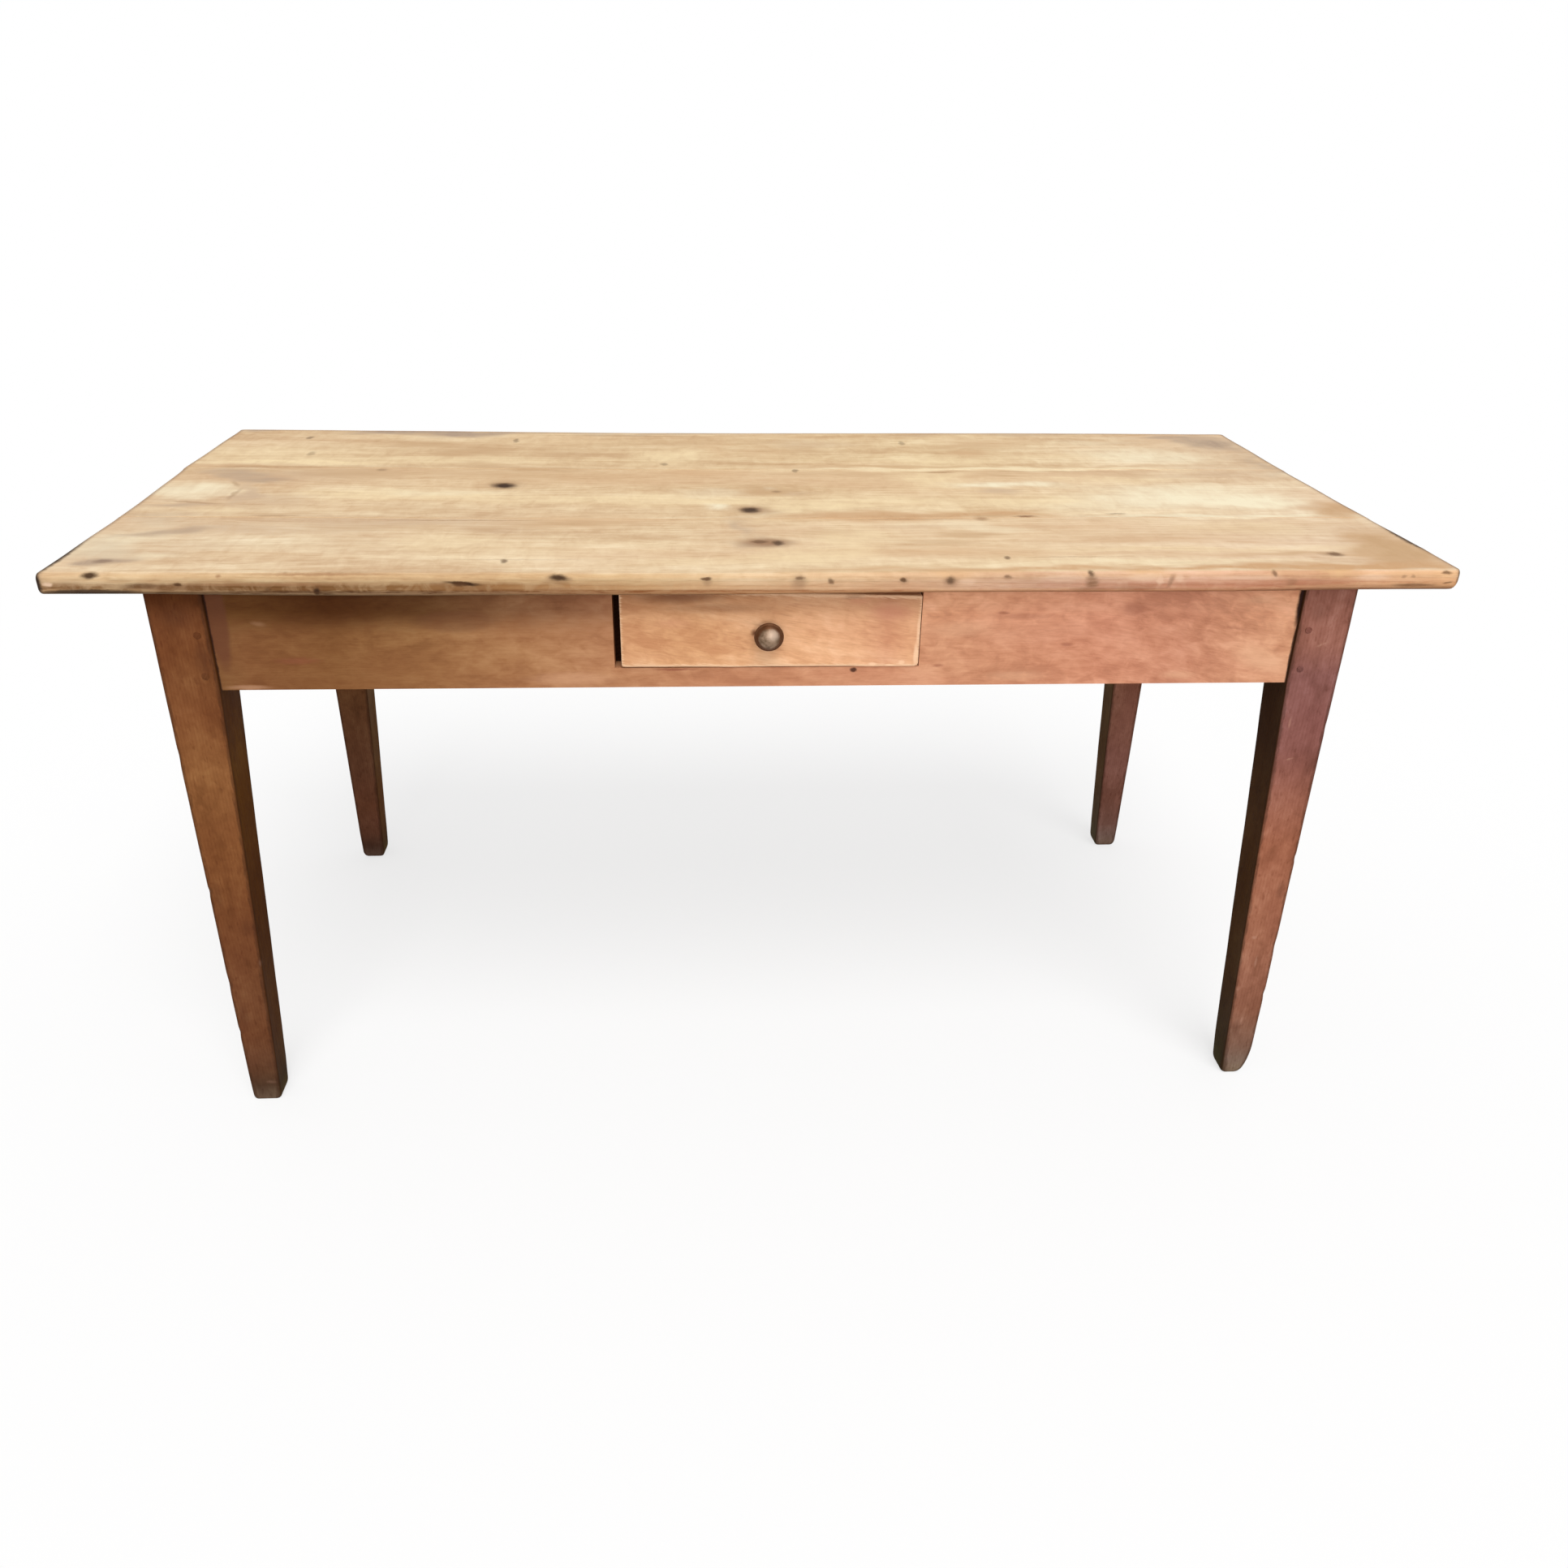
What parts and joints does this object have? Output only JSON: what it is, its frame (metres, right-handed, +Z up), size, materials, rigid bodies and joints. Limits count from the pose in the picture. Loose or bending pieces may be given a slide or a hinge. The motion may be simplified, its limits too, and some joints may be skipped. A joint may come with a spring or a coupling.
{
  "type": "tavern table",
  "caption": "Country tavern table: boarded pine top on tapered square legs joined by pegged aprons, with a drawer that slides out of the front apron.",
  "frame": {"origin": "on the floor, under the middle of the top", "axes": "+X to the right along the length, seen from the drawer side; -Y out of the drawer front; +Z up"},
  "size_m": [1.62, 0.745, 0.76],
  "materials": {
    "top_pine": "worn waxed pine, satin",
    "frame_wood": "old stained and waxed wood, satin",
    "drawer_face": "old waxed wood, satin",
    "plain_pine": "bare unfinished pine, dull",
    "peg_wood": "dark end grain, satin",
    "aged_brass": "aged brown brass, worn satin",
    "dark_iron": "dull dark iron"
  },
  "bodies": {
    "table_frame": {"top_board_front": "top_pine", "top_board_middle": "top_pine", "top_board_back": "top_pine", "top_spline_front": "plain_pine", "top_spline_back": "plain_pine", "leg_front_left": "frame_wood", "leg_front_right": "frame_wood", "leg_back_left": "frame_wood", "leg_back_right": "frame_wood", "apron_front": "frame_wood", "apron_back": "frame_wood", "apron_left": "frame_wood", "apron_right": "frame_wood", "pegs_apron_front": "peg_wood", "top_buttons_front": "plain_pine", "button_screws_front": "dark_iron", "pegs_apron_back": "peg_wood", "top_buttons_back": "plain_pine", "button_screws_back": "dark_iron", "pegs_apron_left": "peg_wood", "top_buttons_left": "plain_pine", "button_screws_left": "dark_iron", "pegs_apron_right": "peg_wood", "top_buttons_right": "plain_pine", "button_screws_right": "dark_iron", "drawer_runner_left": "plain_pine", "drawer_guide_left": "plain_pine", "drawer_stop_left": "plain_pine", "guide_nails_left": "dark_iron", "drawer_runner_right": "plain_pine", "drawer_guide_right": "plain_pine", "drawer_stop_right": "plain_pine", "guide_nails_right": "dark_iron"},
    "drawer": {"drawer_front": "drawer_face", "drawer_side_left": "plain_pine", "drawer_side_right": "plain_pine", "drawer_back": "plain_pine", "drawer_bottom": "plain_pine", "drawer_bottom_nails": "dark_iron", "drawer_knob": "aged_brass", "knob_bolt": "dark_iron", "knob_washer": "dark_iron"}
  },
  "joints": [
    {"name": "drawer_slide", "type": "slide", "parent": "table_frame", "child": "drawer", "axis": [0, -1, 0], "range_m": [0, 0.4]}
  ]
}
